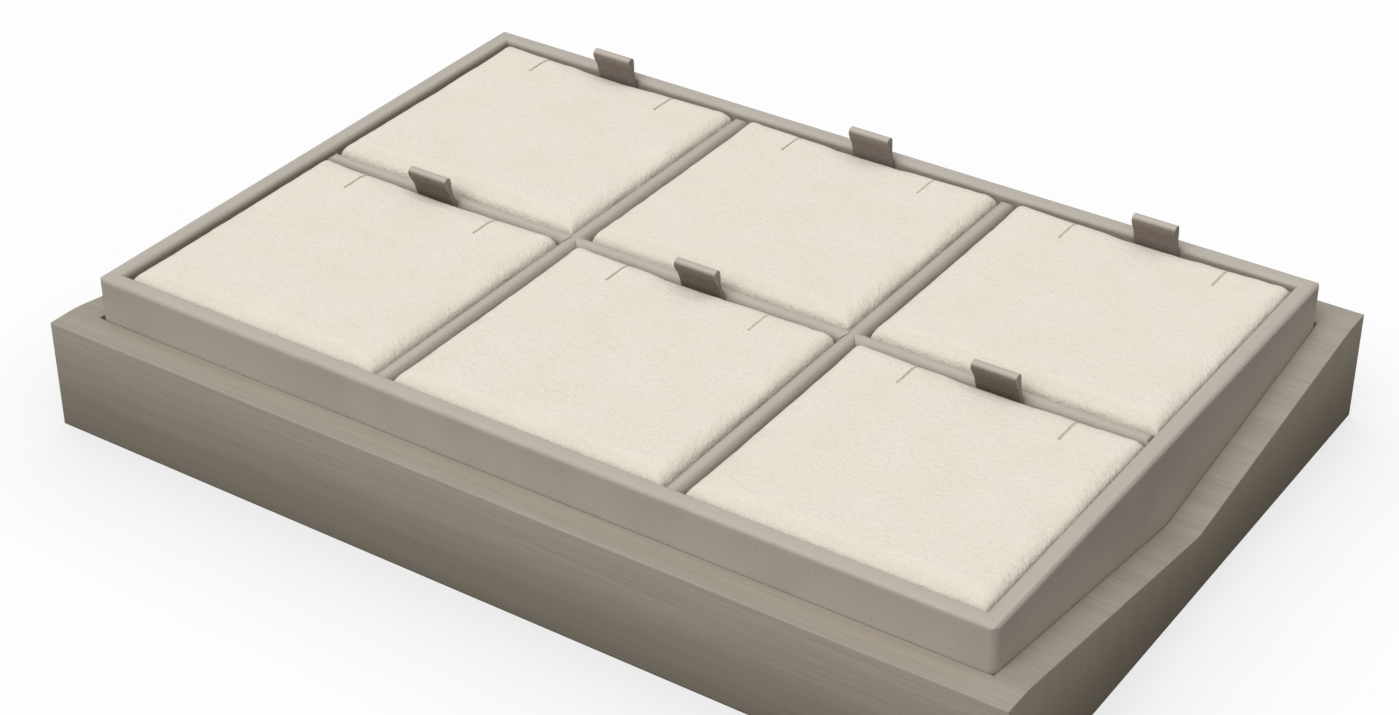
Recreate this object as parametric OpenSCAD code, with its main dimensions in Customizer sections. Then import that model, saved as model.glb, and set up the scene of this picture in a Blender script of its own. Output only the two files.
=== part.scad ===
// Jewellery display tray: six pendant pads in a divided tray, standing in a dished base.
// Millimetres. The origin is under the middle of the base, +X along its long side to the right,
// +Y to the back, +Z up.

/* [Tray] */
// Outer length of the tray along X
tray_w = 299.4; // [220:0.2:420]
// Outer depth of the tray along Y
tray_d = 198; // [150:1:300]
// Height of the tray from its underside to the top of its rim
tray_h = 31.8; // [28:0.1:45]
// Thickness of the tray's four walls
wall_t = 5.9; // [4.5:0.1:10]
// Thickness of the tray's floor
floor_t = 3; // [2:0.1:6]
// Radius that rounds both top edges of the rim, at most half the wall
rim_r = 1.8; // [0.8:0.1:5]
// Radius of the tray's upright outer corners
corner_r = 2.6; // [1:0.1:6]

/* [Dividers] */
// Thickness of a divider, whose top is fully rounded
divider_t = 5.6; // [4:0.1:8]
// How far the dividers' tops lie below the rim
divider_drop = 1.6; // [0.3:0.1:4]
// Radius that rounds the top corner at each end of a divider
divider_end_r = 2.4; // [1:0.1:8]
// Clearance round a divider where it meets the walls or crosses another
divider_gap = 0.15; // [0.1:0.05:0.4]

/* [Pads] */
// Clearance between a pad and the compartment at its left, right and front
pad_gap = 0.6; // [0.3:0.1:1.5]
// How far the middle of a pad stands above the rim
pad_rise = 0.2; // [0:0.1:2]
// Height over which a pad's top edge rolls down to its side
pad_roll_h = 3.2; // [1.5:0.1:5]
// Width over which a pad's top edge rolls down to its side
pad_roll_w = 6; // [3:0.1:12]
// Radius of a pad's upright corners
pad_corner_r = 2; // [1:0.1:10]
// Distance between a pad's two chain slits
slit_pitch = 50; // [30:1:65]
// Length of a chain slit from the pad's back edge
slit_len = 12.5; // [6:0.5:20]
// Width of a chain slit
slit_w = 0.7; // [0.4:0.1:1.5]
// Depth of a chain slit below the pad's top
slit_depth = 6; // [4:0.5:10]

/* [Pull tabs] */
// Width of a pull tab along X
tab_w = 14.8; // [10:0.1:24]
// How far a pull tab sits to the right of its pad's middle
tab_shift = 1.3; // [-5:0.1:5]
// Thickness of a pull tab
tab_t = 1.4; // [0.8:0.1:1.8]
// Height of a pull tab's top above the rim
tab_rise = 9.4; // [6:0.1:14]
// Length of the upright tail fixed to the pad's back, below the bend
tab_tail = 14; // [8:0.5:18]
// How far below the pad's top a pull tab bends forward
tab_bend_drop = 2.4; // [1:0.1:5]
// Angle by which a pull tab leans forward over its pad
tab_lean = 18; // [5:1:20]
// Clearance between a pull tab and the wall or divider behind it
tab_gap = 0.2; // [0.1:0.05:0.6]

/* [Base] */
// Height of the base
base_h = 35.6; // [30:0.1:60]
// Depth of the pocket that the tray stands in
pocket_depth = 17.6; // [12:0.1:24]
// Width of the ledges at the two short sides
side_ledge = 9.8; // [6:0.1:20]
// Width of the ledge at the front
front_ledge = 10.2; // [6:0.1:20]
// Width of the ledge at the back
back_ledge = 11.7; // [6:0.1:20]
// Play on each side between the tray and the pocket along X
side_play = 0.5; // [0.3:0.05:2]
// Play on each side between the tray and the pocket along Y
front_play = 0.3; // [0.3:0.05:2.5]
// Gap left where the tray is pushed against the pocket's front and right walls
rest_gap = 0.1; // [0.1:0.05:0.25]
// Depth of the finger dip in each side ledge, at its lowest point
dip_depth = 14.4; // [8:0.1:20]
// Level stretch of a side ledge in front of and behind its dip
dip_flat = 10.4; // [6:0.1:20]
// Radius that rounds the bottom of a finger dip
dip_bottom_r = 15; // [5:1:40]
// Radius that rounds the two upper ends of a finger dip
dip_end_r = 50; // [10:1:80]

/* [Hidden] */

columns = 3;
rows = 2;
arc_steps = 8; // flats in an arc
cut = 1; // how far a cutting shape runs past the face that it opens
lip_flat = 0.3; // narrowest level strip along the top of a wall
$fn = 48;

base_w = tray_w + 2 * (side_play + side_ledge);
base_d = tray_d + 2 * front_play + front_ledge + back_ledge;
pocket_z = base_h - pocket_depth;
rim_z = pocket_z + tray_h;
floor_z = pocket_z + floor_t;
lip_r = min(rim_r, (wall_t - lip_flat) / 2);

// The tray stands pushed to the right and to the front of its pocket.
tray_x = side_play - rest_gap;
tray_y = (front_ledge - back_ledge) / 2 + rest_gap - front_play;

// Compartments between the walls and dividers
cell_w = (tray_w - 2 * wall_t - (columns - 1) * divider_t) / columns;
cell_d = (tray_d - 2 * wall_t - (rows - 1) * divider_t) / rows;
cell_pitch_x = cell_w + divider_t;
cell_pitch_y = cell_d + divider_t;

divider_h = rim_z - divider_drop - floor_z;
notch_z = floor_z + divider_h / 2;

back_gap = tab_t + tab_gap;
pad_w = cell_w - 2 * pad_gap;
pad_d = cell_d - pad_gap - back_gap;
pad_h = rim_z + pad_rise - floor_z;

pad_back_y = cell_d / 2 - back_gap;
pad_centre_y = (pad_gap - back_gap) / 2;
bend_z = rim_z + pad_rise - tab_bend_drop;
tab_len = (rim_z + tab_rise - bend_z - tab_t / 2 * (1 + sin(tab_lean))) / cos(tab_lean);

// The two slopes of a finger dip, from the middle of the ledge to where it is level
dip_half = base_d / 2 - dip_flat;
dip_slope = atan(dip_depth / dip_half);
dip_end_y = dip_half + dip_end_r * tan(dip_slope / 2);

taupe = [0.62, 0.58, 0.53];
dark_taupe = [0.50, 0.47, 0.42];
wood_taupe = [0.56, 0.53, 0.47];
cream = [0.90, 0.87, 0.81];

// Centre of a compartment: column 0 is the left one, row 0 the front one
function cell_x(column) = tray_x + (column - (columns - 1) / 2) * cell_pitch_x;
function cell_y(row) = tray_y + (row - (rows - 1) / 2) * cell_pitch_y;

// Quarter of an ellipse from angle a0 to a0 + 90
function quarter(cx, cy, rx, ry, a0) = [
    for (i = [0 : arc_steps]) let (a = a0 + 90 * i / arc_steps) [cx + rx * cos(a), cy + ry * sin(a)]
];

// Arc of the given radius from angle a0 to a1
function arc(cx, cy, r, a0, a1) = [
    for (i = [0 : arc_steps]) let (a = a0 + (a1 - a0) * i / arc_steps) [cx + r * cos(a), cy + r * sin(a)]
];

// Rectangle standing on y = 0, centred on x = 0, with its two top corners rounded
module round_topped(width, height, rx, ry) {
    polygon(concat(
        [[-width / 2, 0], [width / 2, 0]],
        quarter(width / 2 - rx, height - ry, rx, ry, 0),
        quarter(rx - width / 2, height - ry, rx, ry, 90)
    ));
}

// Rectangle centred on the origin with round corners
module round_plan(width, depth, r) {
    polygon(concat(
        quarter(width / 2 - r, depth / 2 - r, r, r, 0),
        quarter(r - width / 2, depth / 2 - r, r, r, 90),
        quarter(r - width / 2, r - depth / 2, r, r, 180),
        quarter(width / 2 - r, r - depth / 2, r, r, 270)
    ));
}

// Turns an outline drawn in X and Z, or in Y and Z, into a bar of the given length
module bar_along_y(length) {
    rotate([90, 0, 0]) linear_extrude(length, center = true) children();
}

module bar_along_x(length) {
    rotate([90, 0, 90]) linear_extrude(length, center = true) children();
}

// Block standing on z = 0 whose top edges and upright corners are all rounded
module soft_block(width, depth, height, rx, ry, r) {
    intersection() {
        bar_along_y(depth) round_topped(width, height, rx, ry);
        bar_along_x(width) round_topped(depth, height, rx, ry);
        linear_extrude(height) round_plan(width, depth, r);
    }
}

// Outline of an opening of the given width that flares into round lips at height 0
module flared_mouth(width, depth_below, r) {
    polygon(concat(
        [[-width / 2, -depth_below], [width / 2, -depth_below]],
        [for (i = [0 : arc_steps]) let (a = 90 * i / arc_steps)
            [width / 2 + r * (1 - cos(a)), r * (sin(a) - 1)]],
        [[width / 2 + r, cut], [-width / 2 - r, cut]],
        [for (i = [arc_steps : -1 : 0]) let (a = 90 * i / arc_steps)
            [-width / 2 - r * (1 - cos(a)), r * (sin(a) - 1)]]
    ));
}

// ---- Base ----

// Two straight slopes that meet in a rounded bottom and run out into the level ledge in round ends
module dip_outline() {
    polygon(concat(
        [[-dip_end_y, base_h + cut], [dip_end_y, base_h + cut]],
        arc(dip_end_y, base_h - dip_end_r, dip_end_r, 90, 90 + dip_slope),
        arc(0, base_h - dip_depth + dip_bottom_r / cos(dip_slope), dip_bottom_r,
            270 + dip_slope, 270 - dip_slope),
        arc(-dip_end_y, base_h - dip_end_r, dip_end_r, 90 - dip_slope, 90)
    ));
}

module base() {
    color(wood_taupe)
    difference() {
        translate([-base_w / 2, -base_d / 2, 0]) cube([base_w, base_d, base_h]);
        translate([-base_w / 2 + side_ledge, -base_d / 2 + front_ledge, pocket_z])
            cube([base_w - 2 * side_ledge, base_d - front_ledge - back_ledge, pocket_depth + cut]);
        for (side = [-1, 1])
            translate([side * (base_w + cut - side_ledge) / 2, 0, 0])
                bar_along_x(side_ledge + cut) dip_outline();
    }
}

// ---- Tray and dividers ----

module tray() {
    opening_w = tray_w - 2 * wall_t;
    opening_d = tray_d - 2 * wall_t;
    color(taupe)
    translate([tray_x, tray_y, pocket_z])
    difference() {
        soft_block(tray_w, tray_d, tray_h, lip_r, lip_r, corner_r);
        translate([0, 0, tray_h]) intersection() {
            bar_along_y(tray_d) flared_mouth(opening_w, tray_h - floor_t, lip_r);
            bar_along_x(tray_w) flared_mouth(opening_d, tray_h - floor_t, lip_r);
        }
    }
}

// Upright strip along X with a round top and rounded top corners at its ends
module strip(length, thickness, height) {
    intersection() {
        bar_along_x(length) round_topped(thickness, height, thickness / 2, thickness / 2);
        bar_along_y(thickness) round_topped(length, height, divider_end_r, divider_end_r);
    }
}

module cross_strip(column, grow = 0) {
    translate([tray_x + (column - (columns - 2) / 2) * cell_pitch_x, tray_y, floor_z])
        rotate([0, 0, 90])
        strip(tray_d - 2 * (wall_t + divider_gap), divider_t + 2 * grow, divider_h + grow);
}

module long_divider() {
    color(taupe)
    difference() {
        translate([tray_x, tray_y, floor_z])
            strip(tray_w - 2 * (wall_t + divider_gap), divider_t, divider_h);
        for (column = [0 : columns - 2]) intersection() {
            cross_strip(column, divider_gap);
            translate([-base_w / 2, -base_d / 2, notch_z]) cube([base_w, base_d, divider_h]);
        }
    }
}

module cross_divider(column) {
    color(taupe)
    difference() {
        cross_strip(column);
        translate([-base_w / 2, tray_y - divider_t / 2 - divider_gap, floor_z - cut])
            cube([base_w, divider_t + 2 * divider_gap, notch_z + divider_gap - floor_z + cut]);
    }
}

module cross_divider_left() { cross_divider(0); }
module cross_divider_right() { cross_divider(1); }

// ---- Pads and pull tabs ----

module pad(column, row) {
    color(cream)
    translate([cell_x(column), cell_y(row), floor_z])
    difference() {
        translate([0, pad_centre_y, 0])
            soft_block(pad_w, pad_d, pad_h, pad_roll_w, pad_roll_h, pad_corner_r);
        for (side = [-1, 1])
            translate([side * slit_pitch / 2 - slit_w / 2, pad_back_y - slit_len, pad_h - slit_depth])
                cube([slit_w, slit_len + cut, slit_depth + cut]);
    }
}

// The tail stands between the pad and the wall or divider behind it. The tab bends forward above
// the place where the pad's edge starts to roll away, and ends in a round edge.
module tab_outline() {
    translate([0, -tab_tail]) square([tab_t, tab_tail]);
    rotate(tab_lean) {
        square([tab_t, tab_len]);
        translate([tab_t / 2, tab_len]) circle(tab_t / 2);
    }
    intersection() {
        circle(tab_t);
        translate([0, -cut]) square([tab_t, tab_t + cut]);
    }
}

module tab(column, row) {
    color(dark_taupe)
    translate([cell_x(column) + tab_shift, cell_y(row) + pad_back_y, bend_z])
        bar_along_x(tab_w) tab_outline();
}

module pad_back_left() { pad(0, 1); }
module pad_back_middle() { pad(1, 1); }
module pad_back_right() { pad(2, 1); }
module pad_front_left() { pad(0, 0); }
module pad_front_middle() { pad(1, 0); }
module pad_front_right() { pad(2, 0); }
module tab_back_left() { tab(0, 1); }
module tab_back_middle() { tab(1, 1); }
module tab_back_right() { tab(2, 1); }
module tab_front_left() { tab(0, 0); }
module tab_front_middle() { tab(1, 0); }
module tab_front_right() { tab(2, 0); }

base();
tray();
long_divider();
cross_divider_left();
cross_divider_right();
pad_back_left();
pad_back_middle();
pad_back_right();
pad_front_left();
pad_front_middle();
pad_front_right();
tab_back_left();
tab_back_middle();
tab_back_right();
tab_front_left();
tab_front_middle();
tab_front_right();
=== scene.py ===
"""Looks, light and camera of a jewellery display tray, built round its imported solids. Metres."""
import math

import bmesh
import bpy
from mathutils import Matrix, Vector, noise


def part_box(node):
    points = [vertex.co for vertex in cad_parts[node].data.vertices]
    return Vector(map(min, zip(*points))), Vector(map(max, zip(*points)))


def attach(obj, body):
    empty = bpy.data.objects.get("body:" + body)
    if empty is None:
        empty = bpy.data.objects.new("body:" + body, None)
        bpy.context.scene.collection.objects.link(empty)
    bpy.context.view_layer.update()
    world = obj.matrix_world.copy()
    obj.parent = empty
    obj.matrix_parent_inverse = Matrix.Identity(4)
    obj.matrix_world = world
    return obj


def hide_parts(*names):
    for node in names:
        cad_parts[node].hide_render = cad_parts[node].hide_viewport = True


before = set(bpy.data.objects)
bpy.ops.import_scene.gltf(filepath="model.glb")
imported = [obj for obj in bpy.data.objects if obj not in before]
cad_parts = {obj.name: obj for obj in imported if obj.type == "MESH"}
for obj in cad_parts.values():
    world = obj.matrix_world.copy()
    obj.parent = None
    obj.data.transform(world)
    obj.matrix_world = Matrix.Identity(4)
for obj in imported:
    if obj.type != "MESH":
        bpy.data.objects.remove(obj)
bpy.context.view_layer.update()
MM = 0.001
COLUMNS = ("left", "middle", "right")
ROWS = ("front", "back")

# ---- Camera ----
CAMERA_AT = (0.39255, -0.59662, 0.47851)
CAMERA_LOOKS = (-0.46602, 0.70195, -0.53860)  # direction of its view
CAMERA_ROLL = 0.003027  # radians
LENS_MM = 73.10
SENSOR_MM = 36.0
CLIP_START = 0.01

# ---- Pads ----
FRONT_SPREAD = 0.35 * MM  # how far the cover fills the gap in front of it
RIGHT_SPREAD = 0.58 * MM  # how far it fills the gap at its right, as the pads lie pushed that way
BACK_BULGE = {"front": 0.6 * MM, "back": 0.8 * MM}  # how far it bulges back beside its tab
TAB_CLEAR = 11 * MM  # distance from the tab's middle within which it doesn't bulge
BULGE_REACH = 6 * MM  # distance over which the bulge grows
LEFT_INSET = 0.4 * MM  # how far it stands back at its left
ROLL_W = 6.0 * MM  # rolled edge, seen from above
ROLL_H = 3.2 * MM  # rolled edge, seen from the side
ROLL_POWER = 0.78  # 1 rolls the edge as an ellipse, and less makes it fuller
CORNER_R = 1.3 * MM
CORNER_GROWTH = 0.2  # growth of the corner's radius for each step inwards over the roll
PULL_IN = 0.15 * MM  # how far the sides draw in between the corners
FINE_STEP = 1.2 * MM  # size of the faces near the edges
WIDE_STEP = 2.6 * MM  # size of the faces in the middle
DEEP_STEP = 5 * MM  # size of the faces below the free part
EDGE_BAND = 10 * MM  # width of the part that counts as near an edge
FREE_DEPTH = 8 * MM  # the part below this depth is held by the compartment
SWELL_CAP = 0.45 * MM  # the pressure moves no point farther than this
PRESSURE = 4.0
CLOTH_GROWTH = 0.012
CLOTH_BENDING = 0.3
CLOTH_FRAMES = 20
WAVE_SIZE = 6.5 * MM
WAVE_LIFT = 0.07 * MM
EDGE_WAVE_LIFT = 0.06 * MM  # added to the waves near an edge
CREASE_SIZE = 4.2 * MM
CREASE_LIFT = 0.08 * MM
NOISE_SHIFT = (1.7, 2.3, 0.0)  # moves the waves from one pad to the next, so that no two are alike
SLIT_SPREAD = 1.1 * MM  # how far the outer pads' slits sit outwards
SLIT_PITCH = 50 * MM  # distance between a pad's two slits
SLIT_LEN = 13.7 * MM
SLIT_HALF = 0.65 * MM  # half its width
SLIT_DEPTH = 1.5 * MM
SLIT_DROP = 5.0 * MM  # how far it goes down over the back edge
SPLIT_REACH = 4 * MM  # faces up to this far beside a slit are split along it
SPLIT_BELOW = 3 * MM  # and up to this far below it
SNAP = 1e-7  # a cut this close to a point goes through the point
ON_LINE = 1e-6  # a point this close to the slit's line lies on it

# ---- Pull tabs ----
TAB_W = 14.1 * MM
TAB_T = 1.4 * MM
TAB_TAIL = 14 * MM
TAB_SPREAD = 0.65 * MM  # how far the outer pads' tabs sit outwards
TAB_LEAN = {"front": 19.5, "back": 15.5}  # degrees
TAB_SHIFT = {"front": -1.1 * MM, "back": 0.0}  # tabs are set by hand, so the rows differ a little
TAB_DROP = {"front": 0.9 * MM, "back": 0.0}  # how far their tops stay under the solids' tops
TAB_BEND_R = 2.2 * MM
TAB_SLOT = 0.1 * MM  # gap between the two layers of the folded strip
TAB_EDGE_R = 0.12 * MM
TAB_SMOOTH_BELOW = 40  # degrees
FOLD_R = 1.6 * MM  # rounding of the fold at the top
FOLD_REACH = 5 * MM  # distance over which the strip thickens towards the fold
BEND_STEPS = 6
FACE_STEPS = 8
FOLD_STEPS = 14

# ---- Solids ----
SMOOTH_BELOW = 30  # degrees
WELD_REACH = 0.01 * MM

# ---- Colours, linear ----
SKIN_DARK = (0.405, 0.362, 0.308)
SKIN_LIGHT = (0.435, 0.390, 0.334)
SKIN_FLECK = (0.2, 0.18, 0.15)
SKIN_TOP_SHEEN = (0.565, 0.515, 0.450)  # painted sheen where it faces up
# Painted shade in the leatherette's inner corners
SKIN_CORNER_SHADE = (0.13, 0.112, 0.09)
SUEDE_DARK = (0.812, 0.762, 0.655)
SUEDE_LIGHT = (0.832, 0.784, 0.680)
SUEDE_FLECK = (0.60, 0.54, 0.42)
SUEDE_FRONT_SHADE = (0.56, 0.51, 0.41)  # painted shade where it rolls down to the front, dimming the light that falls there
WOOD_DARK = (0.382, 0.340, 0.280)
WOOD_LIGHT = (0.412, 0.368, 0.306)
WOOD_STREAK = (0.235, 0.200, 0.150)
WOOD_END = (0.47, 0.39, 0.267)
# Painted shade towards the foot
WOOD_FOOT_SHADE = (0.080, 0.064, 0.044)
# Lighter edges: partly wear, partly a painted highlight
WOOD_WORN_HIGHLIGHT = (0.53, 0.485, 0.415)
# Painted shade in inner corners
WOOD_CORNER_SHADE = (0.12, 0.10, 0.075)
# Painted shade on the tabs' faces, darker for the front row; the sides are painted less dark and the fold
# gets a painted highlight
TAB_FACE_SHADE = {"front": (0.132, 0.110, 0.086), "back": (0.172, 0.141, 0.124)}
TAB_FACE_LIGHT = 1.15  # its lighter mottling, as a multiple
TAB_SIDE_SHADE = (0.27, 0.24, 0.20)
TAB_FOLD_HIGHLIGHT = (0.50, 0.45, 0.385)

# ---- How much of each colour is mixed in, from 0 to 1 ----
SKIN_FLECK_SHARE = 0.10
SKIN_TOP_SHEEN_SHARE = 0.55
# Painted shade in the inner corners of the tray and the dividers:
OUTSIDE_SHADE_SHARE = 0.12  # painted shade on the outer faces of the tray's walls
INSIDE_SHADE_SHARE = 0.55
LONG_DIVIDER_SHADE_SHARE = 0.5
CROSS_DIVIDER_SHADE_SHARE = 0.2
SUEDE_FLECK_SHARE = 0.12
SUEDE_FRONT_SHADE_SHARE = 0.30
WOOD_STREAK_SHARE = 0.20
END_STREAK_SHARE = 0.6  # streaks on the two ends, as a share of those on the long sides
WOOD_END_SHARE = 0.38
WOOD_FOOT_SHADE_SHARE = 0.55
WOOD_WORN_HIGHLIGHT_SHARE = 0.35
WOOD_SHADE_SHARE = 0.2

# ---- Textures: repeats in a metre, and heights and reaches in metres ----
SKIN_CLOUD_SCALE = 45
SKIN_FLECK_SCALE = 900
SKIN_WAVE_SCALE = 350
SKIN_WAVE_H = 0.08 * MM
SKIN_SHADE_REACH = 12 * MM
OUTSIDE_TO = 1.5 * MM  # depth into the tray's wall up to which its faces count as outer ones
INSIDE_FROM = 3.5 * MM  # and from which they count as inner ones
PEBBLE_SCALE = 1500
PEBBLE_H = 0.04 * MM
SUEDE_CLOUD_SCALE = 60
SUEDE_FLECK_SCALE = 1400
SUEDE_WRINKLE_SCALE = 520
SUEDE_WRINKLE_H = 0.55 * MM
SUEDE_NAP_SCALE = 1500
SUEDE_NAP_H = 0.12 * MM
FINE_LONG_SCALE = (28, 1100, 1100)  # the grain runs along X
BROAD_LONG_SCALE = (9, 260, 260)
FINE_END_SCALE = (1, 800, 22)  # and upwards on the two ends
BROAD_END_SCALE = (1, 160, 8)
WOOD_GRAIN_H = 0.06 * MM
WOOD_EDGE_R = 0.9 * MM
WOOD_SHADE_REACH = 6 * MM

# ---- Floor, light and world ----
FLOOR_SIZE = 6.0
FLOOR_TONE = 0.12
WHITE = 0.984
CONTACT_REACH = 0.055  # how far from the object its contact shadow spreads
CONTACT_SHADE = 0.27
SKY = 0.54
KEY_STRENGTH = 1.85
KEY_FROM = (0.0, -0.62, 0.78)
KEY_SPREAD = 38  # degrees


def share(value):
    """The value, kept between 0 and 1."""
    return min(max(value, 0.0), 1.0)


def ease(value):
    """A share from 0 to 1 that starts and ends gently."""
    return value * value * (3 - 2 * value)


def spread(low, high, count):
    """Places at even distances from low to high, both ends with them."""
    return [low + (high - low) * i / count for i in range(count + 1)]


def add_object(name, data):
    made = bpy.data.objects.new(name, data)
    bpy.context.scene.collection.objects.link(made)
    return made


def make_camera():
    data = bpy.data.cameras.new("camera")
    data.sensor_fit = "HORIZONTAL"
    data.sensor_width = SENSOR_MM
    data.lens = LENS_MM
    data.clip_start = CLIP_START
    camera = add_object("camera", data)
    turn = Vector(CAMERA_LOOKS).to_track_quat("-Z", "Y").to_matrix() @ Matrix.Rotation(CAMERA_ROLL, 3, "Z")
    camera.matrix_world = Matrix.Translation(CAMERA_AT) @ turn.to_4x4()
    bpy.context.scene.camera = camera


# ---- Shader helpers ----


class Graph:
    """A small helper that adds nodes to a material and links them."""

    def __init__(self, name):
        self.material = bpy.data.materials.new(name)
        self.material.use_nodes = True
        self.tree = self.material.node_tree
        self.bsdf = self.tree.nodes["Principled BSDF"]
        self.place = self.node("ShaderNodeTexCoord").outputs["Object"]

    def node(self, kind, **values):
        made = self.tree.nodes.new(kind)
        for key, value in values.items():
            setattr(made, key, value)
        return made

    def put(self, socket, value):
        if isinstance(value, bpy.types.NodeSocket):
            self.tree.links.new(value, socket)
        else:
            socket.default_value = value

    def math(self, operation, a, b=0.0, c=0.0):
        made = self.node("ShaderNodeMath", operation=operation)
        for socket, value in zip(made.inputs, (a, b, c)):
            self.put(socket, value)
        return made.outputs[0]

    def stretch(self, scale):
        """The place, multiplied by a scale for each axis."""
        made = self.node("ShaderNodeVectorMath", operation="MULTIPLY")
        self.put(made.inputs[0], self.place)
        self.put(made.inputs[1], scale)
        return made.outputs[0]

    def noise(self, place, scale=1.0, detail=3.0, rough=0.5, warp=0.0):
        made = self.node("ShaderNodeTexNoise")
        self.put(made.inputs["Vector"], place)
        made.inputs["Scale"].default_value = scale
        made.inputs["Detail"].default_value = detail
        made.inputs["Roughness"].default_value = rough
        made.inputs["Distortion"].default_value = warp
        return made.outputs["Fac"]

    def cells(self, scale):
        """Distance to the edges between cells."""
        made = self.node("ShaderNodeTexVoronoi", feature="DISTANCE_TO_EDGE")
        self.put(made.inputs["Vector"], self.place)
        made.inputs["Scale"].default_value = scale
        return made.outputs["Distance"]

    def axes(self, vector):
        """X, Y and Z of a vector."""
        made = self.node("ShaderNodeSeparateXYZ")
        self.put(made.inputs[0], vector)
        return made.outputs

    def ramp(self, value, low, high, to_low=0.0, to_high=1.0):
        """Goes gently from to_low, where the value is low, to to_high, where it is high."""
        made = self.node("ShaderNodeMapRange", interpolation_type="SMOOTHSTEP")
        self.put(made.inputs["Value"], value)
        ends = {"From Min": low, "From Max": high, "To Min": to_low, "To Max": to_high}
        for key, number in ends.items():
            made.inputs[key].default_value = number
        return made.outputs["Result"]

    def mix(self, factor, a, b):
        made = self.node("ShaderNodeMix", data_type="RGBA")
        self.put(made.inputs[0], factor)
        self.put(made.inputs[6], a if isinstance(a, bpy.types.NodeSocket) else (*a, 1.0))
        self.put(made.inputs[7], b if isinstance(b, bpy.types.NodeSocket) else (*b, 1.0))
        return made.outputs[2]

    def bump(self, height, distance, strength=1.0, after=None):
        made = self.node("ShaderNodeBump")
        made.inputs["Strength"].default_value = strength
        made.inputs["Distance"].default_value = distance
        self.put(made.inputs["Height"], height)
        if after is not None:
            self.put(made.inputs["Normal"], after)
        return made.outputs["Normal"]

    def finish(self, color, roughness, normal, **constants):
        self.put(self.bsdf.inputs["Base Color"], color)
        self.put(self.bsdf.inputs["Roughness"], roughness)
        self.put(self.bsdf.inputs["Normal"], normal)
        for key, value in constants.items():
            self.bsdf.inputs[key.replace("_", " ")].default_value = value
        return self.material


def normal_axes(g):
    """X, Y and Z of the surface's normal."""
    return g.axes(g.node("ShaderNodeNewGeometry").outputs["Normal"])


def rounded_edges(g, radius):
    """Normal rounded near sharp edges, and a mask that is 1 on them."""
    rounded = g.node("ShaderNodeBevel", samples=6)
    rounded.inputs["Radius"].default_value = radius
    turned = g.node("ShaderNodeVectorMath", operation="DOT_PRODUCT")
    g.put(turned.inputs[0], rounded.outputs[0])
    g.put(turned.inputs[1], g.node("ShaderNodeNewGeometry").outputs["Normal"])
    return rounded.outputs[0], g.ramp(turned.outputs["Value"], 0.99, 0.80)


def creases(g, reach, depth):
    """Mask of painted shade that grows towards inner corners, where shade falls."""
    hidden = g.node("ShaderNodeAmbientOcclusion", samples=8)
    hidden.inputs["Distance"].default_value = reach
    return g.ramp(hidden.outputs["AO"], 0.9, 0.35, 0.0, depth)


# ---- Materials ----


def pebbled(g):
    """Normal of a fine leather pebble."""
    return g.bump(g.ramp(g.cells(PEBBLE_SCALE), 0.0, 0.25), PEBBLE_H, 0.5)


def tray_painted_shade(g):
    """How much painted shade the tray's inner corners get: less on the outer faces of its walls than inside
    them.
    """
    low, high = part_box("tray")
    spot = g.axes(g.place)
    depths = []
    for axis in (0, 1):
        offset = g.math("SUBTRACT", spot[axis], (low[axis] + high[axis]) / 2)
        depths.append(g.math("SUBTRACT", (high[axis] - low[axis]) / 2, g.math("ABSOLUTE", offset)))
    inside = g.ramp(g.math("MINIMUM", *depths), OUTSIDE_TO, INSIDE_FROM)
    return g.ramp(inside, 0.0, 1.0, OUTSIDE_SHADE_SHARE, INSIDE_SHADE_SHARE)


def leatherette(name, crease):
    """Leatherette with painted shade in its inner corners and a painted sheen where it faces up; crease is
    how much painted shade, or a function that gives it.
    """
    g = Graph(name)
    cloudy = g.noise(g.place, scale=SKIN_CLOUD_SCALE, detail=3)
    fine = g.noise(g.place, scale=SKIN_FLECK_SCALE, detail=2)
    color = g.mix(g.ramp(cloudy, 0.35, 0.65), SKIN_DARK, SKIN_LIGHT)
    color = g.mix(g.ramp(fine, 0.3, 0.7, 0.0, SKIN_FLECK_SHARE), color, SKIN_FLECK)
    # Painted sheen: lighter where the surface faces up
    color = g.mix(g.ramp(normal_axes(g)[2], 0.70, 1.0, 0.0, SKIN_TOP_SHEEN_SHARE), color, SKIN_TOP_SHEEN)
    # Painted shade that darkens the inner corners
    darkening = crease(g) if callable(crease) else crease
    dark = g.math("MULTIPLY", creases(g, SKIN_SHADE_REACH, 1.0), darkening)
    color = g.mix(dark, color, SKIN_CORNER_SHADE)
    waves = g.noise(g.place, scale=SKIN_WAVE_SCALE, detail=3)
    normal = g.bump(waves, SKIN_WAVE_H, 0.5, after=pebbled(g))
    rough = g.ramp(fine, 0.3, 0.7, 0.36, 0.44)
    return g.finish(color, rough, normal, Specular_IOR_Level=0.5)


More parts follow.
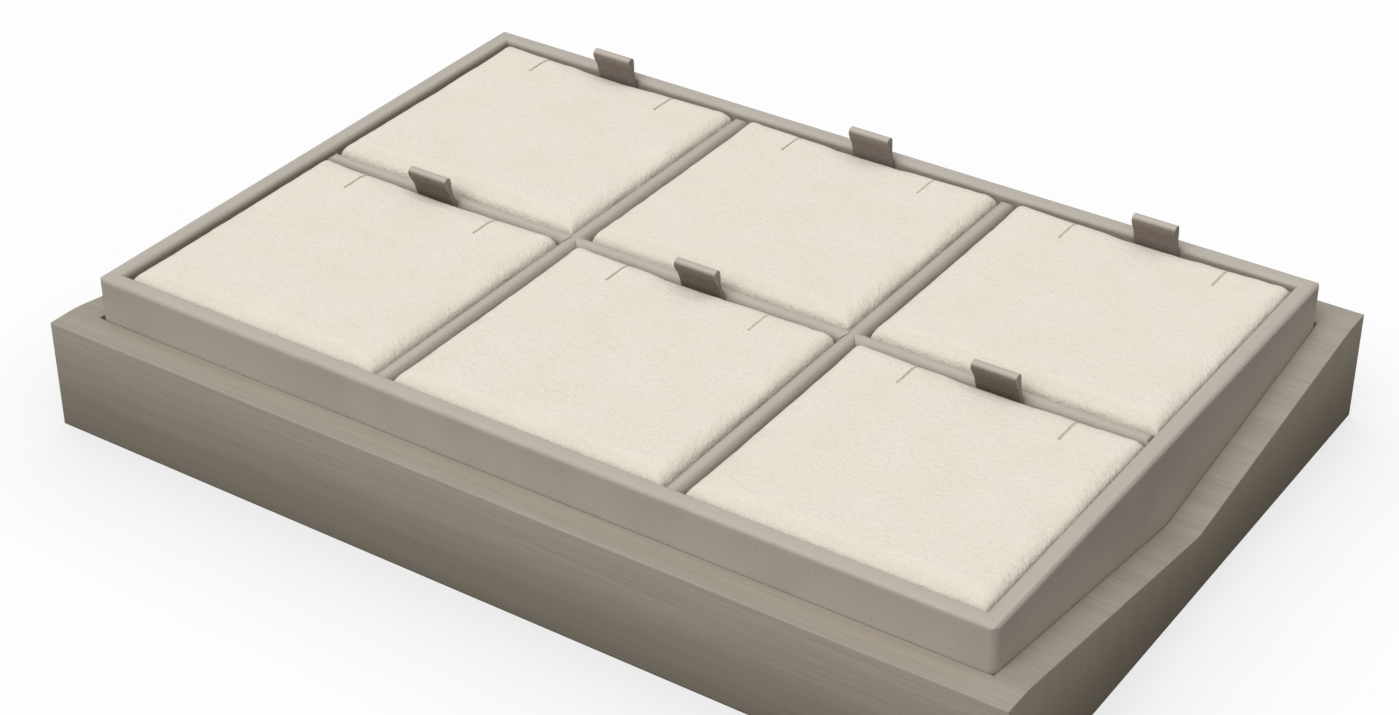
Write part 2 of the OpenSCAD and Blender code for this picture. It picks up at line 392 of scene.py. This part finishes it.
def suede():
    g = Graph("suede")
    tilt = g.ramp(normal_axes(g)[2], 0.995, 0.80)
    cloudy = g.noise(g.place, scale=SUEDE_CLOUD_SCALE, detail=2)
    speckle = g.noise(g.place, scale=SUEDE_FLECK_SCALE, detail=3, rough=0.6)
    color = g.mix(g.ramp(cloudy, 0.3, 0.7), SUEDE_DARK, SUEDE_LIGHT)
    color = g.mix(g.ramp(speckle, 0.35, 0.7, 0.0, SUEDE_FLECK_SHARE), color, SUEDE_FLECK)
    # Painted shade on the roll that faces the front
    front_shade = g.ramp(normal_axes(g)[1], -0.02, -0.4, 0.0, SUEDE_FRONT_SHADE_SHARE)
    color = g.mix(front_shade, color, SUEDE_FRONT_SHADE)
    wrinkle = g.noise(g.place, scale=SUEDE_WRINKLE_SCALE, detail=3, rough=0.6, warp=0.9)
    depth = g.math("MULTIPLY", wrinkle, g.math("MULTIPLY_ADD", tilt, 0.3, 0.65))
    normal = g.bump(depth, SUEDE_WRINKLE_H)
    nap = g.noise(g.place, scale=SUEDE_NAP_SCALE, detail=3, rough=0.6)
    normal = g.bump(nap, SUEDE_NAP_H, 0.8, after=normal)
    return g.finish(color, 0.92, normal, Specular_IOR_Level=0.12, Sheen_Weight=0.08, Sheen_Roughness=0.45)


def wood(height):
    """Wood whose grain runs along X and upwards on the two ends, with painted shade that darkens its
    upright faces towards its foot.
    """
    g = Graph("wood")
    axes = normal_axes(g)
    end_grain = g.ramp(g.math("ABSOLUTE", axes[0]), 0.55, 0.75)
    upright = g.ramp(g.math("ABSOLUTE", axes[2]), 0.80, 0.35)
    normal, edge_wear_highlight = rounded_edges(g, WOOD_EDGE_R)
    fine_long = g.noise(g.stretch(FINE_LONG_SCALE), detail=3, rough=0.6)
    broad_long = g.noise(g.stretch(BROAD_LONG_SCALE), detail=2)
    fine_end = g.noise(g.stretch(FINE_END_SCALE), detail=3, rough=0.6)
    broad_end = g.noise(g.stretch(BROAD_END_SCALE), detail=2)
    fine = g.mix(end_grain, fine_long, fine_end)
    broad = g.mix(end_grain, broad_long, broad_end)
    color = g.mix(g.ramp(broad, 0.3, 0.7), WOOD_DARK, WOOD_LIGHT)
    fewer = g.ramp(end_grain, 0.0, 1.0, 1.0, END_STREAK_SHARE)
    streaks = g.math("MULTIPLY", g.ramp(fine, 0.35, 0.62, WOOD_STREAK_SHARE, 0.0), fewer)
    color = g.mix(streaks, color, WOOD_STREAK)
    color = g.mix(g.ramp(end_grain, 0.0, 1.0, 0.0, WOOD_END_SHARE), color, WOOD_END)
    # Painted shade: the upright faces darken towards the foot
    foot = g.ramp(g.axes(g.place)[2], 0.0, height, WOOD_FOOT_SHADE_SHARE, 0.0)
    color = g.mix(g.math("MULTIPLY", foot, upright), color, WOOD_FOOT_SHADE)
    # Lighter edges: partly wear, partly a painted highlight
    color = g.mix(g.math("MULTIPLY", edge_wear_highlight, WOOD_WORN_HIGHLIGHT_SHARE), color, WOOD_WORN_HIGHLIGHT)
    # Painted shade in the inner corners
    color = g.mix(creases(g, WOOD_SHADE_REACH, WOOD_SHADE_SHARE), color, WOOD_CORNER_SHADE)
    normal = g.bump(fine, WOOD_GRAIN_H, 0.5, after=normal)
    return g.finish(color, g.ramp(fine, 0.3, 0.7, 0.66, 0.54), normal, Specular_IOR_Level=0.3)


def tab_leatherette(row):
    """Leatherette painted in shade: dark faces, less dark sides, and a painted highlight on the fold where
    it faces up; each row gets its own face shade.
    """
    g = Graph(f"tab_leatherette_{row}")
    axes = normal_axes(g)
    face = TAB_FACE_SHADE[row]
    fine = g.noise(g.place, scale=SKIN_FLECK_SCALE, detail=2)
    color = g.mix(g.ramp(fine, 0.3, 0.7), face, [c * TAB_FACE_LIGHT for c in face])
    # Painted shade by the way each face turns: sides less dark, and the fold lightest where it faces up
    color = g.mix(g.ramp(g.math("ABSOLUTE", axes[0]), 0.5, 0.9), color, TAB_SIDE_SHADE)
    color = g.mix(g.ramp(axes[2], 0.10, 0.95), color, TAB_FOLD_HIGHLIGHT)
    return g.finish(color, 0.55, pebbled(g), Specular_IOR_Level=0.35)


# ---- Solids that keep their own shape ----


def smoothing_group():
    """Shades a mesh smooth except where two faces meet at more than a given angle."""
    group = bpy.data.node_groups.new("smooth_below_angle", "GeometryNodeTree")
    group.interface.new_socket("Geometry", in_out="INPUT", socket_type="NodeSocketGeometry")
    group.interface.new_socket("Geometry", in_out="OUTPUT", socket_type="NodeSocketGeometry")
    new, link = group.nodes.new, group.links.new
    start, end = new("NodeGroupInput"), new("NodeGroupOutput")
    faces, edges = new("GeometryNodeSetShadeSmooth"), new("GeometryNodeSetShadeSmooth")
    faces.domain, edges.domain = "FACE", "EDGE"
    edges.inputs["Shade Smooth"].default_value = False
    angle, sharper = new("GeometryNodeInputMeshEdgeAngle"), new("FunctionNodeCompare")
    sharper.operation = "GREATER_THAN"
    sharper.inputs[1].default_value = math.radians(SMOOTH_BELOW)
    link(start.outputs[0], faces.inputs["Geometry"])
    link(faces.outputs[0], edges.inputs["Geometry"])
    link(angle.outputs["Unsigned Angle"], sharper.inputs[0])
    link(sharper.outputs[0], edges.inputs["Selection"])
    link(edges.outputs[0], end.inputs[0])
    return group


def dress_solid(node, material, group):
    """Gives a CAD node its material, joined faces and smooth shading."""
    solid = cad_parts[node]
    for name in [a.name for a in solid.data.attributes if a.name == "custom_normal"]:
        solid.data.attributes.remove(solid.data.attributes[name])
    solid.data.materials.clear()
    solid.data.materials.append(material)
    weld = solid.modifiers.new("weld", "WELD")
    weld.merge_threshold = WELD_REACH
    shade = solid.modifiers.new("shade", "NODES")
    shade.node_group = group


# ---- Pads ----


def lines(low, high, step):
    """Places from low to high, about a step apart."""
    return spread(low, high, max(1, round((high - low) / step)))


def edge_to_edge(low, high):
    """Places from one side of a pad to the other, close together near both sides."""
    first, last = low + EDGE_BAND, high - EDGE_BAND
    places = lines(low, first, FINE_STEP) + lines(first, last, WIDE_STEP) + lines(last, high, FINE_STEP)
    return sorted(set(round(v, 7) for v in places))


def soft_box(name, low, high):
    """Closed grid of quads in the form of a cushion that fills a box."""
    xs, ys = edge_to_edge(low.x, high.x), edge_to_edge(low.y, high.y)
    edge = high.z - ROLL_H
    held = edge - FREE_DEPTH
    zs = lines(low.z, held, DEEP_STEP)[:-1] + lines(held, edge, FINE_STEP)[:-1] + [high.z]
    nx, ny, nz = len(xs) - 1, len(ys) - 1, len(zs) - 1
    mesh, verts = bmesh.new(), {}

    def vert(i, j, k):
        if (i, j, k) not in verts:
            verts[i, j, k] = mesh.verts.new(on_cushion(Vector((xs[i], ys[j], zs[k])), low, high))
        return verts[i, j, k]

    for i in range(nx):
        for j in range(ny):
            mesh.faces.new((vert(i, j, nz), vert(i + 1, j, nz), vert(i + 1, j + 1, nz), vert(i, j + 1, nz)))
            mesh.faces.new((vert(i, j, 0), vert(i, j + 1, 0), vert(i + 1, j + 1, 0), vert(i + 1, j, 0)))
    for k in range(nz):
        for i in range(nx):
            mesh.faces.new((vert(i, 0, k), vert(i + 1, 0, k), vert(i + 1, 0, k + 1), vert(i, 0, k + 1)))
            mesh.faces.new((vert(i, ny, k), vert(i, ny, k + 1), vert(i + 1, ny, k + 1), vert(i + 1, ny, k)))
        for j in range(ny):
            mesh.faces.new((vert(0, j, k), vert(0, j, k + 1), vert(0, j + 1, k + 1), vert(0, j + 1, k)))
            mesh.faces.new((vert(nx, j, k), vert(nx, j + 1, k), vert(nx, j + 1, k + 1), vert(nx, j, k + 1)))
    data = bpy.data.meshes.new(name)
    mesh.to_mesh(data)
    mesh.free()
    return add_object(name, data)


def roll_turn(inside):
    """Angle turned by the rolled edge at a distance inside the side."""
    return (1 - min(inside / ROLL_W, 1.0)) * math.pi / 2


def rolled(inside):
    """How far inside the side a point at that distance comes to lie once its edge is rolled."""
    if inside >= ROLL_W:
        return inside
    return ROLL_W * (1 - math.sin(roll_turn(inside)) ** ROLL_POWER)


def on_cushion(point, low, high):
    """Moves a point of a box's surface onto a cushion: rolled top edges, rounded upright corners."""
    middle, half = (low + high) / 2, (high - low) / 2

    def squeeze(value, axis):
        inside = rolled(half[axis] - abs(value - middle[axis]))
        return middle[axis] + math.copysign(half[axis] - inside, value - middle[axis])

    rim = min(half.x - abs(point.x - middle.x), half.y - abs(point.y - middle.y))
    drop = ROLL_H * (1 - max(math.cos(roll_turn(rim)), 0.0) ** ROLL_POWER) if point.z == high.z else 0.0
    spot = Vector((squeeze(point.x, 0), squeeze(point.y, 1), point.z - drop))
    inset = rolled(rim)
    radius = CORNER_R + CORNER_GROWTH * min(inset, ROLL_W) - max(inset - ROLL_W, 0.0)
    if radius > 0:
        reach = (half.x - inset - radius, half.y - inset - radius)
        core = [middle[a] + min(max(spot[a] - middle[a], -reach[a]), reach[a]) for a in (0, 1)]
        out = Vector((spot.x - core[0], spot.y - core[1]))
        if out.length > 0:
            out = out.normalized() * radius
        spot.x, spot.y = core[0] + out.x, core[1] + out.y
    u, v = (spot.x - middle.x) / half.x, (spot.y - middle.y) / half.y
    near_x = max(1 - (1 - abs(u)) * half.x / EDGE_BAND, 0.0)
    near_y = max(1 - (1 - abs(v)) * half.y / EDGE_BAND, 0.0)
    spot.x -= math.copysign(PULL_IN * near_x * (1 - v * v), u)
    spot.y -= math.copysign(PULL_IN * near_y * (1 - u * u), v)
    return spot


def simulate_swelling(pad, top):
    """Inflates the cloth top of a pad whose sides and underside are held, and caps the movement."""
    rest = [v.co.copy() for v in pad.data.vertices]
    held = pad.vertex_groups.new(name="held")
    for v in pad.data.vertices:
        depth = top - v.co.z
        held.add([v.index], share((depth - FREE_DEPTH / 2) / (FREE_DEPTH / 2)), "REPLACE")
    cloth = pad.modifiers.new("cloth", "CLOTH")
    cloth.settings.vertex_group_mass = "held"
    cloth.settings.use_pressure = True
    cloth.settings.uniform_pressure_force = PRESSURE
    cloth.settings.shrink_min = -CLOTH_GROWTH
    cloth.settings.effector_weights.gravity = 0.0
    cloth.settings.bending_stiffness = CLOTH_BENDING
    cloth.collision_settings.use_collision = False
    cloth.point_cache.frame_start = 1
    cloth.point_cache.frame_end = CLOTH_FRAMES
    for number in range(1, CLOTH_FRAMES + 1):
        bpy.context.scene.frame_set(number)
    solved = pad.evaluated_get(bpy.context.evaluated_depsgraph_get())
    moved = [v.co.copy() for v in solved.data.vertices]
    pad.modifiers.remove(cloth)
    bpy.context.scene.frame_set(1)
    for v, a, b in zip(pad.data.vertices, rest, moved):
        step = b - a
        if step.length > 0:
            step *= SWELL_CAP * math.tanh(step.length / SWELL_CAP) / step.length
        v.co = a + step
    pad.vertex_groups.clear()


def subdivide(pad):
    smooth = pad.modifiers.new("subdivide", "SUBSURF")
    smooth.levels = smooth.render_levels = 1
    data = bpy.data.meshes.new_from_object(pad.evaluated_get(bpy.context.evaluated_depsgraph_get()))
    pad.modifiers.remove(smooth)
    pad.data = data


def rumple(pad, low, high, seed):
    """Shallow creases in the cover: faint on the flat top and deeper where it rolls over an edge."""
    shift = Vector([seed * s for s in NOISE_SHIFT])
    normals = [Vector(n.vector) for n in pad.data.vertex_normals]
    for v, normal in zip(pad.data.vertices, normals):
        depth = high.z - v.co.z
        if depth > FREE_DEPTH:
            continue
        inside = min(v.co.x - low.x, high.x - v.co.x, v.co.y - low.y, high.y - v.co.y)
        near = share(1 - inside / EDGE_BAND)
        wave = noise.noise(v.co / WAVE_SIZE + shift)
        crease = 0.5 - abs(noise.noise(v.co / CREASE_SIZE - shift)) * 2
        lift = (WAVE_LIFT + EDGE_WAVE_LIFT * near) * wave + CREASE_LIFT * near * crease
        place = v.co + normal * lift * (1 - depth / FREE_DEPTH)
        v.co = (min(max(place.x, low.x), high.x), min(max(place.y, low.y), high.y), place.z)


def cut_slit(mesh, x, front, top):
    """Opens a narrow groove from front to the pad's back edge and down over it."""

    def near(face):
        """Whether a face is close to the slit and isn't part of the pad's underside."""
        spot = face.calc_center_median()
        beside = abs(spot.x - x) < SPLIT_REACH and spot.y > front - SPLIT_REACH
        return beside and spot.z > top - SLIT_DROP - SPLIT_BELOW and face.normal.z > -0.5

    def bisect(point, normal):
        """Splits the faces near the slit where a plane meets them."""
        faces = [f for f in mesh.faces if near(f)]
        edges = {e for f in faces for e in f.edges}
        verts = {v for f in faces for v in f.verts}
        geom = faces + list(edges) + list(verts)
        bmesh.ops.bisect_plane(mesh, geom=geom, dist=SNAP, plane_co=point, plane_no=normal)

    for offset in (-SLIT_HALF, 0.0, SLIT_HALF):
        bisect(Vector((x + offset, 0, 0)), Vector((1, 0, 0)))
    bisect(Vector((0, front, 0)), Vector((0, 1, 0)))
    bisect(Vector((0, front + SLIT_HALF, 0)), Vector((0, 1, 0)))
    mesh.normal_update()
    inner = [v for v in mesh.verts if abs(v.co.x - x) < ON_LINE and v.co.y > front + SLIT_HALF / 2
             and v.co.z > top - SLIT_DROP]
    for v in inner:
        v.co -= Vector((0, v.normal.y, v.normal.z)).normalized() * SLIT_DEPTH
    chosen = set(inner)
    for face in {f for v in inner for f in v.link_faces}:
        face.smooth = False
        for edge in face.edges:
            if not (edge.verts[0] in chosen or edge.verts[1] in chosen):
                edge.smooth = False


def bulge_back(pad, high, tab_x, bulge):
    """Lets the cover swell back into the gap on both sides of the pull tab."""
    for v in pad.data.vertices:
        side = share((abs(v.co.x - tab_x) - TAB_CLEAR) / BULGE_REACH)
        near = share(1 - (high.y - v.co.y) / EDGE_BAND)
        v.co.y += bulge * ease(side) * near


def make_pad(row, column, material, seed):
    node = f"pad_{row}_{column}"
    low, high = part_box(node)
    low += Vector((LEFT_INSET, -FRONT_SPREAD, 0))
    high.x += RIGHT_SPREAD
    pad = soft_box(f"suede_{node}", low, high)
    for face in pad.data.polygons:
        face.use_smooth = True
    simulate_swelling(pad, high.z)
    subdivide(pad)
    rumple(pad, low, high, seed)
    bulge_back(pad, high, tab_middle(row, column), BACK_BULGE[row])
    mesh = bmesh.new()
    mesh.from_mesh(pad.data)
    middle = (low.x + high.x) / 2 + (COLUMNS.index(column) - 1) * SLIT_SPREAD
    for side in (-1, 1):
        cut_slit(mesh, middle + side * SLIT_PITCH / 2, high.y - SLIT_LEN, high.z)
    mesh.to_mesh(pad.data)
    mesh.free()
    pad.data.materials.append(material)
    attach(pad, "root")
    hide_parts(node)


# ---- Pull tabs ----


def tab_profile(lean, rise):
    """Side outline, in Y and Z from the foot of the bend, of a strip folded double over its top."""
    turn = math.radians(lean)
    bend = TAB_BEND_R * turn
    length = (rise - FOLD_R) / math.cos(turn)
    stops = [-TAB_TAIL] + spread(0.0, bend, BEND_STEPS) + spread(bend, length, FACE_STEPS)[1:]

    def edge(t, off):
        """A point at distance t along the strip's middle line, off to its back."""
        a = min(max(t / TAB_BEND_R, 0.0), turn)
        start = Vector((TAB_T / 2 - TAB_BEND_R * (1 - math.cos(a)), TAB_BEND_R * math.sin(a) + min(t, 0.0)))
        middle = start + Vector((-math.sin(a), math.cos(a))) * max(t - bend, 0.0)
        return middle + Vector((math.cos(a), math.sin(a))) * off

    def half(t):
        """Half the strip's thickness, which grows towards the fold."""
        return TAB_T / 2 + (FOLD_R - TAB_T / 2) * ease(share(1 - (length - t) / FOLD_REACH))

    centre = edge(length, 0)
    angles = spread(turn, turn + math.pi, FOLD_STEPS)[1:-1]
    cap = [centre + Vector((math.cos(a), math.sin(a))) * FOLD_R for a in angles]
    back = [edge(t, half(t)) for t in stops]
    front = [edge(t, -half(t)) for t in stops][::-1]
    slot = [edge(t, -TAB_SLOT / 2) for t in stops] + [edge(t, TAB_SLOT / 2) for t in stops][::-1]
    return back + cap + front + slot


def tab_middle(row, column):
    """Place along X of a tab's middle."""
    low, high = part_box(f"tab_{row}_{column}")
    return (low.x + high.x) / 2 + (COLUMNS.index(column) - 1) * TAB_SPREAD + TAB_SHIFT[row]


def make_tab(row, column, material):
    node = f"tab_{row}_{column}"
    low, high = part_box(node)
    middle = tab_middle(row, column)
    pad_back = high.y - TAB_T
    bend_z = low.z + TAB_TAIL
    outline = tab_profile(TAB_LEAN[row], high.z - TAB_DROP[row] - bend_z)

    def is_side(face):
        return abs(face.normal.x) > 0.9

    mesh = bmesh.new()
    verts = [mesh.verts.new((middle - TAB_W / 2, pad_back + p.x, bend_z + p.y)) for p in outline]
    side = mesh.faces.new(verts)
    grown = bmesh.ops.extrude_face_region(mesh, geom=[side])
    for v in [g for g in grown["geom"] if isinstance(g, bmesh.types.BMVert)]:
        v.co.x += TAB_W
    bmesh.ops.recalc_face_normals(mesh, faces=mesh.faces)
    rim = [e for e in mesh.edges if len(e.link_faces) == 2 and sum(is_side(f) for f in e.link_faces) == 1]
    bmesh.ops.bevel(mesh, geom=rim, offset=TAB_EDGE_R, segments=2, affect="EDGES", clamp_overlap=True)
    for face in mesh.faces:
        face.smooth = not is_side(face)
    data = bpy.data.meshes.new(f"strip_{node}")
    mesh.to_mesh(data)
    mesh.free()
    data.set_sharp_from_angle(angle=math.radians(TAB_SMOOTH_BELOW))
    data.materials.append(material)
    tab = add_object(f"strip_{node}", data)
    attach(tab, "root")
    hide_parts(node)


# ---- Floor, light and world ----


def floor_material():
    """Matt floor that the camera sees as white, with a soft shade where the object touches it."""
    material = bpy.data.materials.new("floor")
    material.use_nodes = True
    tree = material.node_tree
    tree.nodes.clear()
    new, link = tree.nodes.new, tree.links.new
    matt, glow = new("ShaderNodeBsdfDiffuse"), new("ShaderNodeEmission")
    both, out = new("ShaderNodeAddShader"), new("ShaderNodeOutputMaterial")
    matt.inputs["Color"].default_value = (FLOOR_TONE, FLOOR_TONE, FLOOR_TONE, 1)
    near = new("ShaderNodeAmbientOcclusion")
    near.samples = 16
    near.inputs["Distance"].default_value = CONTACT_REACH
    shade = new("ShaderNodeMapRange")
    shade.inputs["To Min"].default_value = WHITE - FLOOR_TONE - CONTACT_SHADE
    shade.inputs["To Max"].default_value = WHITE - FLOOR_TONE
    seen = new("ShaderNodeMath")
    seen.operation = "MULTIPLY"
    link(near.outputs["AO"], shade.inputs["Value"])
    link(shade.outputs["Result"], seen.inputs[0])
    link(new("ShaderNodeLightPath").outputs["Is Camera Ray"], seen.inputs[1])
    link(seen.outputs[0], glow.inputs["Strength"])
    link(matt.outputs[0], both.inputs[0])
    link(glow.outputs[0], both.inputs[1])
    link(both.outputs[0], out.inputs["Surface"])
    return material


def make_floor():
    data = bpy.data.meshes.new("floor")
    half = FLOOR_SIZE / 2
    corners = [(-half, -half, 0), (half, -half, 0), (half, half, 0), (-half, half, 0)]
    data.from_pydata(corners, [], [(0, 1, 2, 3)])
    data.materials.append(floor_material())
    add_object("floor", data)


def make_world():
    """Even light from all round, which the camera sees as white."""
    world = bpy.data.worlds.new("studio")
    bpy.context.scene.world = world
    world.use_nodes = True
    tree = world.node_tree
    sky = tree.nodes["Background"]
    sky.inputs["Color"].default_value = (1, 1, 1, 1)
    level = tree.nodes.new("ShaderNodeMapRange")
    level.inputs["To Min"].default_value = SKY
    level.inputs["To Max"].default_value = WHITE
    seen = tree.nodes.new("ShaderNodeLightPath").outputs["Is Camera Ray"]
    tree.links.new(seen, level.inputs["Value"])
    tree.links.new(level.outputs["Result"], sky.inputs["Strength"])


def make_key_light():
    data = bpy.data.lights.new("key", "SUN")
    data.energy = KEY_STRENGTH
    data.angle = math.radians(KEY_SPREAD)
    key = add_object("key", data)
    key.rotation_euler = Vector(KEY_FROM).to_track_quat("Z", "Y").to_euler()


def main():
    make_camera()
    group = smoothing_group()
    dress_solid("base", wood(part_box("base")[1].z), group)
    dress_solid("tray", leatherette("tray_leatherette", tray_painted_shade), group)
    dress_solid("long_divider", leatherette("long_divider_leatherette", LONG_DIVIDER_SHADE_SHARE), group)
    strips = leatherette("cross_divider_leatherette", CROSS_DIVIDER_SHADE_SHARE)
    for node in ("cross_divider_left", "cross_divider_right"):
        dress_solid(node, strips, group)
    cover = suede()
    for r, row in enumerate(ROWS):
        strip = tab_leatherette(row)
        for c, column in enumerate(COLUMNS):
            make_pad(row, column, cover, 3 * r + c)
            make_tab(row, column, strip)
    make_floor()
    make_world()
    make_key_light()
    bpy.context.scene.view_settings.view_transform = "Standard"


main()
